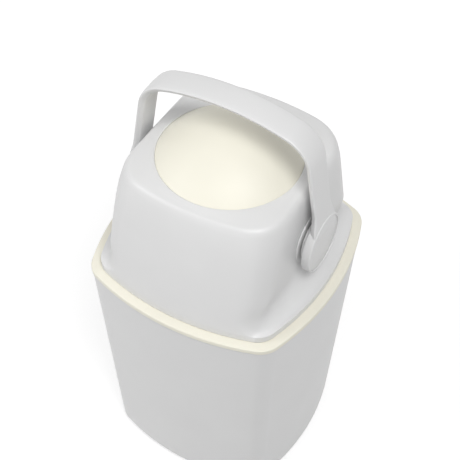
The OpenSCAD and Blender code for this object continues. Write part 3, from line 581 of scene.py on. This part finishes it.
# %% Lid inside
under_z = MOUTH_Z - LID_WALL
under_r = math.sqrt((DRUM_R + DRUM_GAP) ** 2 - (under_z - AXLE) ** 2)
rings.append(toward_mouth(top, under_r, under_z))
inner = CROWN_R - LID_WALL
for a in reversed(arc(6)):
    rings.append(lid_level(CROWN_0, LID_WALL + inner * (1 - math.cos(a)), CROWN_0 + inner * math.sin(a)))
rings += [lid_level(COVE_TOP + t * FLANK_H, LID_WALL) for t in (0.66, 0.33)]
rings += [lid_level(SKIRT_1 + t * COVE_H, LID_WALL) for t in (1, 0.6, 0.35, 0.18, 0.06, 0)]
rings.append(lid_level(SKIRT_0, LID_WALL))
bm = bmesh.new()
skin(bm, rings, "joined")
print("lid rings:", len(rings))

# %% [markdown]
# ### What the lid carries
#
# Round pads on both sides hold the bearing bushes, four posts inside take the housing's screws, and
# two hinge knuckles on short leaves reach over the ring's ledge behind. A pad is a flat ring, so its
# section is drawn and spun round the axle.

# %% Pads, posts and knuckles
BUSH_OUT, PAD_R, PAD_IN, PAD_OUT, PAD_EASE = 16.05, 28, 92.3, 94.8, 0.5
POST_X, POST_Y, POST_R, POST_MID, POST_H = 74, 82, 3.9, 19.5, 15
LEAF_IN, LEAF_HALF = 1, 1.5


def pad(bm, side):
    """A flat ring about the axle with an eased rim."""
    x0, x1, lean = side * PAD_IN, side * PAD_OUT, side * PAD_EASE
    section = [(x0, BUSH_OUT), (x1, BUSH_OUT), (x1, PAD_R - PAD_EASE),
               (x1 - lean * 0.3, PAD_R - PAD_EASE * 0.3), (x1 - lean, PAD_R), (x0, PAD_R)]
    verts = [bm.verts.new(Vector((x, 0, BIN_H + AXLE + r)) * MM) for x, r in section]
    edges = [bm.edges.new((verts[i - 1], verts[i])) for i in range(len(verts))]
    bmesh.ops.spin(bm, geom=verts + edges, cent=Vector((0, 0, BIN_H + AXLE)) * MM, axis=(1, 0, 0),
                   angle=2 * math.pi, steps=96, use_merge=True)


for side in (-1, 1):
    pad(bm, side)
    x0, x1 = sorted((side * lid_in, side * (lid_in + KNUCKLE)))
    bar(bm, BARREL_R, side * lid_in, side * (lid_in + KNUCKLE), HINGE_Y, HINGE_Z)
    block(bm, (x0, LID_HALF - LID_WALL, HINGE_Z - LEAF_HALF),
          (x1, HINGE_Y - LEAF_IN, HINGE_Z + LEAF_HALF))
    for y in (-POST_Y, POST_Y):
        place = Matrix.Translation(Vector((side * POST_X, y, BIN_H + POST_MID)) * MM)
        bmesh.ops.create_cone(bm, cap_ends=True, segments=32, radius1=POST_R * MM, radius2=POST_R * MM,
                              depth=POST_H * MM, matrix=place)
piece(bm, "lid_skin", "lid", "white_plastic", ["lid_shell"])

# %% [markdown]
# ## Drum
#
# The drum is a ball of 102 mm radius, cut flat at both ends of the axle and bored through from front to
# back. Its outside and its bore are one closed section, so the ball is spun about the bore, cut at the
# two flats and at the plane where the halves meet, and the cuts are filled.

# %% Drum halves
BORE_R, BORE_LIP, DRUM_HALF, TUBE_END = 72.5, 66, 86, 66.4


def ball_half(name, node, side):
    """The upper (side 1) or lower (side -1) half of the bored ball."""
    bm = bmesh.new()
    lip = math.degrees(math.asin(BORE_LIP / DRUM_R))
    outer = [(DRUM_R * math.sin(a), -DRUM_R * math.cos(a)) for a in arc(48, lip, 180 - lip)]
    bore = [(BORE_LIP, TUBE_END), (BORE_R, TUBE_END), (BORE_R, -TUBE_END), (BORE_LIP, -TUBE_END)]
    verts = [bm.verts.new(Vector((0, y, BIN_H + AXLE + r)) * MM) for r, y in outer + bore]
    edges = [bm.edges.new((verts[i - 1], verts[i])) for i in range(len(verts))]
    centre = Vector((0, 0, BIN_H + AXLE)) * MM
    bmesh.ops.spin(bm, geom=verts + edges, cent=centre, axis=(0, 1, 0), angle=2 * math.pi, steps=128,
                   use_merge=True)
    for point, normal in (((DRUM_HALF * MM, 0, 0), (1, 0, 0)), ((-DRUM_HALF * MM, 0, 0), (-1, 0, 0)),
                          (centre, (0, 0, -side))):
        cut = bmesh.ops.bisect_plane(bm, geom=bm.verts[:] + bm.edges[:] + bm.faces[:], dist=1e-7,
                                     plane_co=point, plane_no=normal, clear_outer=True)
        rim = [g for g in cut["geom_cut"] if isinstance(g, bmesh.types.BMEdge)]
        bmesh.ops.triangle_fill(bm, use_beauty=True, use_dissolve=False, edges=rim)
    print(f"{name}: bore mouths at y = +-{outer[-1][1]:.1f} mm")
    piece(bm, name, "rotor", "cream_plastic", [node], sharp=30)


ball_half("drum_dome", "drum_upper", 1)
ball_half("drum_belly", "drum_lower", -1)

# %% [markdown]
# ## Handle
#
# The handle is a flat strap, 32 mm wide, that rises in two straight legs, turns through round corners
# and bows gently over the mouth. Seen from the front, its inner face is one smooth path: a line up the
# leg, the arc of the corner and half of the flat bow, mirrored. Each station on the path keeps the
# angle of the strap there.

# %% Handle path
# top above the rim, radii of the bow and the corners, splay of the legs, their reach at the axle
HANDLE_TOP, TOP_R, BEND_R, SPLAY, LEG_REACH = 210, 235, 33, math.radians(9.2), 106.6
FLARE_RISE, FOOT_RISE = 52, 20
top_mid = (0, HANDLE_TOP - TOP_R)
leg_gap = LEG_REACH - BEND_R + (AXLE - top_mid[1]) * math.sin(SPLAY)
bend_turn = SPLAY + math.acos(leg_gap / (TOP_R - BEND_R))
bend_mid = ((TOP_R - BEND_R) * math.cos(bend_turn), top_mid[1] + (TOP_R - BEND_R) * math.sin(bend_turn))
leg_top = (bend_mid[0] + BEND_R * math.cos(SPLAY), bend_mid[1] + BEND_R * math.sin(SPLAY))
heights = [AXLE + FOOT_RISE + (FLARE_RISE - FOOT_RISE) * i / 16 for i in range(17)]
heights += [AXLE + FLARE_RISE + (leg_top[1] - AXLE - FLARE_RISE) * i / 5 for i in range(1, 5)]
path = [(leg_top[0] + (leg_top[1] - z) * math.tan(SPLAY), z, SPLAY) for z in heights]
for i in range(17):
    a = SPLAY + (bend_turn - SPLAY) * i / 16
    path.append((bend_mid[0] + BEND_R * math.cos(a), bend_mid[1] + BEND_R * math.sin(a), a))
for i in range(1, 9):
    a = bend_turn + (math.pi / 2 - bend_turn) * i / 8
    path.append((top_mid[0] + TOP_R * math.cos(a), top_mid[1] + TOP_R * math.sin(a), a))
path += [(-x, z, math.pi - a) for x, z, a in reversed(path[:-1])]
print("stations along the strap:", len(path))

# %% [markdown]
# ### Strap
#
# The strap's outer face is slightly crowned and its sides slope in towards the hand, with a small round
# where they meet the crown. At each foot the strap flares from 32 to 44 mm and runs into its disc. The
# section is drawn once and swept along the path by extruding a ring. The roundings of its edges are
# pairs in millimetres: how far a point lies from the face, and how far in from the side.

# %% Strap
STRAP_W, STRAP_BEVEL, STRAP_T, STRAP_CROWN, FLARE_W = 32, 2.6, 6.4, 1.0, 44
FLARE_LEN, FLARE_POWER, EDGE_R, CROWN_IN, CROWN_FROM = 27, 1.5, 1.2, 1.1, 8
INNER_EDGE = ((0.3, 0.6), (0.84, 0))
OUTER_EDGE = ((1.68, 0.15), (1.14, 0), (0.6, 0.12), (0.144, 0.55))


def smooth_step(t):
    """Smooth step from 0 to 1."""
    t = max(0, min(1, t))
    return t * t * (3 - 2 * t)


def strap_ring(x, z, a):
    """The strap's section at a station: a crowned outer face and sides that slope in."""
    flare = smooth_step((FLARE_RISE - z + AXLE) / FLARE_LEN) ** FLARE_POWER
    half = (STRAP_W + (FLARE_W - STRAP_W) * flare) / 2
    inner = half - STRAP_BEVEL
    flat = [(0, (inner - EDGE_R) * k) for k in (1, 0.5, 0, -0.5, -1)]
    edge = [(d, e - inner) for d, e in INNER_EDGE]
    edge.append((STRAP_T * 0.45, -inner - STRAP_BEVEL * 0.5))
    edge += [(STRAP_T - d, e - half) for d, e in OUTER_EDGE]
    crown = [(STRAP_T + STRAP_CROWN * math.sin(b), (half - CROWN_IN) * math.cos(b))
             for b in reversed(arc(10, CROWN_FROM, 180 - CROWN_FROM))]
    section = flat + edge + crown + [(d, -y) for d, y in reversed(edge)]
    return [(x + d * math.cos(a), y, BIN_H + z + d * math.sin(a)) for d, y in section]


bm = bmesh.new()
skin(bm, [strap_ring(*station) for station in path], "capped")
print("points round the strap:", len(strap_ring(*path[0])))

# %% [markdown]
# ### Discs
#
# The strap ends in two round discs. Each stands off the lid on a narrower hub, so a dark groove shows
# between disc and lid, and each has a shallow seat in its face for the cap. A disc is an open section,
# from the middle of its back round to the middle of its seat, spun round the axle. Its small edges are
# pairs in millimetres: how far along the axle, and how far inside or outside a radius.

# %% Discs
DISC_R, DISC_FACE, DISC_T, CAP_R, CAP_T, CAP_RECESS = 33, 111.4, 14.7, 30.5, 2, 0.8
HUB_R, HUB_T, RIM_ROUND, CAP_ROOM = 23, 5.2, 1.6, 0.1
BACK_EDGE = ((0, 0.8), (0.25, 0.25), (0.8, 0))
SEAT_EDGE = ((0, 0.5), (0.15, 0.2), (0.5, CAP_ROOM))


def spun_disc(bm, section, side):
    """Spins a section of (distance from the hub's inner face, radius) round the axle."""
    x0 = side * (DISC_FACE - DISC_T)
    verts = [bm.verts.new(Vector((x0 + side * d, 0, BIN_H + AXLE + r)) * MM) for d, r in section]
    edges = [bm.edges.new(pair) for pair in zip(verts, verts[1:])]
    bmesh.ops.spin(bm, geom=verts + edges, cent=Vector((0, 0, BIN_H + AXLE)) * MM, axis=(1, 0, 0),
                   angle=2 * math.pi, steps=128, use_merge=True)


cap_base = DISC_T - CAP_RECESS - CAP_T
section = [(0, 0), (0, HUB_R), (HUB_T, HUB_R)] + [(HUB_T + d, DISC_R - r) for d, r in BACK_EDGE]
section += [(DISC_T - RIM_ROUND * (1 - math.sin(a)), DISC_R - RIM_ROUND * (1 - math.cos(a)))
            for a in arc(6)]
section += [(DISC_T - d, CAP_R + r) for d, r in SEAT_EDGE] + [(cap_base, CAP_R + CAP_ROOM), (cap_base, 0)]
for side in (-1, 1):
    spun_disc(bm, section, side)
bmesh.ops.remove_doubles(bm, verts=bm.verts, dist=1e-6)
print("handle: strap and two discs,", len(bm.faces), "faces")
piece(bm, "handle_skin", "rotor", "white_plastic", ["handle"], sharp=40)

# %% [markdown]
# ### Caps
#
# A shallow round cap closes the face of each disc and hides the screw. It is a separate moulding with
# a fine rounded edge, so a hairline shadow runs round it.

# %% Caps
cap_face = cap_base + CAP_T
CAP_EDGE = ((0.6, 0), (0.2, 0.2), (0, 0.7))
section = [(cap_base, 0), (cap_base, CAP_R)] + [(cap_face - d, CAP_R - r) for d, r in CAP_EDGE]
section += [(cap_face, CAP_R * 0.5), (cap_face, 0)]
for name, node, side in (("cap_face_left", "cap_left", -1), ("cap_face_right", "cap_right", 1)):
    bm = bmesh.new()
    spun_disc(bm, section, side)
    bmesh.ops.remove_doubles(bm, verts=bm.verts, dist=1e-6)
    piece(bm, name, "rotor", "white_plastic", [node])

# %% [markdown]
# ## Floor
#
# The bin stands on a pale floor in a white room. The floor glows a little, and only for the camera and
# for reflections, so that it looks white, still takes the bin's soft shadow and throws no extra light
# on the bin. The glow grows with the distance, which hides the floor's far edge.

# %% Floor
FLOOR_HALF = 6
GLOW_NEAR, GLOW_FAR, FADE_FROM, FADE_TO = 0.55, 0.85, 0.4, 2.2


def seen_directly(tree):
    """1 for what the camera sees directly, as a reflection or through something clear, otherwise 0."""
    rays = add(tree, "ShaderNodeLightPath").outputs
    seen = add(tree, "ShaderNodeMath", {0: rays["Is Camera Ray"], 1: rays["Is Glossy Ray"]},
               operation="MAXIMUM")
    seen = add(tree, "ShaderNodeMath", {0: seen.outputs[0], 1: rays["Is Transmission Ray"]},
               operation="MAXIMUM")
    return seen.outputs[0]


floor_paint, tree, shader = start_material("matt_white_floor")
shader.inputs["Base Color"].default_value = linear("#c6c6c6")
shader.inputs["Roughness"].default_value = 0.9
spot = add(tree, "ShaderNodeTexCoord").outputs["Object"]
away = add(tree, "ShaderNodeVectorMath", {0: spot}, operation="LENGTH").outputs["Value"]
fade = add(tree, "ShaderNodeMapRange", {"Value": away, "From Min": FADE_FROM, "From Max": FADE_TO,
                                        "To Min": GLOW_NEAR, "To Max": GLOW_FAR})
glow = add(tree, "ShaderNodeMath", {0: seen_directly(tree), 1: fade.outputs["Result"]},
           operation="MULTIPLY")
white = add(tree, "ShaderNodeEmission", {"Color": (1, 1, 1, 1), "Strength": glow.outputs[0]})
both = add(tree, "ShaderNodeAddShader", {0: shader.outputs[0], 1: white.outputs[0]})
tree.links.new(both.outputs[0], tree.nodes["Material Output"].inputs["Surface"])
bm = bmesh.new()
bmesh.ops.create_grid(bm, x_segments=1, y_segments=1, size=FLOOR_HALF)
mesh = bpy.data.meshes.new("floor")
bm.to_mesh(mesh)
bm.free()
mesh.materials.append(floor_paint)
floor = bpy.data.objects.new("floor", mesh)
bpy.context.scene.collection.objects.link(floor)
print("floor:", 2 * FLOOR_HALF, "m square")

# %% [markdown]
# ## Light and background
#
# An even white world at half strength is the soft fill, and it looks plain white to the camera. Its
# light is set at the horizon and overhead, and both are the same here. The nodes between the two stay,
# because Cycles treats a world that depends on direction as a lamp of its own, and the shading was
# matched that way. A broad lamp high on the right and a weaker one at the front left do the rest: the
# top is lightest, the sides fall off gently, and the strap's shadow lies on the drum.

# %% World and lamps
HORIZON_LIGHT, OVERHEAD_LIGHT = 0.5, 0.5
world = bpy.data.worlds.new("white_room")
world.use_nodes = True
bpy.context.scene.world = world
tree = world.node_tree
direction = add(tree, "ShaderNodeTexCoord").outputs["Generated"]
height = add(tree, "ShaderNodeSeparateXYZ", {"Vector": direction}).outputs["Z"]
room = add(tree, "ShaderNodeMapRange",
           {"Value": height, "To Min": HORIZON_LIGHT, "To Max": OVERHEAD_LIGHT})
level = add(tree, "ShaderNodeMix", {0: seen_directly(tree), 2: room.outputs["Result"], 3: 1.0})
tree.nodes["Background"].inputs["Color"].default_value = (1, 1, 1, 1)
tree.links.new(level.outputs[0], tree.nodes["Background"].inputs["Strength"])


def soft_lamp(name, place, aim, size, watts):
    """A square area lamp that points at a spot."""
    data = bpy.data.lights.new(name, "AREA")
    data.size, data.energy = size, watts
    lamp = bpy.data.objects.new(name, data)
    bpy.context.scene.collection.objects.link(lamp)
    lamp.location = place
    lamp.rotation_euler = (Vector(place) - Vector(aim)).to_track_quat("Z", "Y").to_euler()
    print(f"{name}: {watts} W, {size} m")


LID_MIDDLE = (0, 0, 0.35)
soft_lamp("high right", (0.93, -0.78, 2.3), LID_MIDDLE, 0.9, 25.5)
soft_lamp("front left", (-1.41, -1.41, 1.5), LID_MIDDLE, 0.8, 14)
bpy.context.scene.view_settings.view_transform = "Standard"
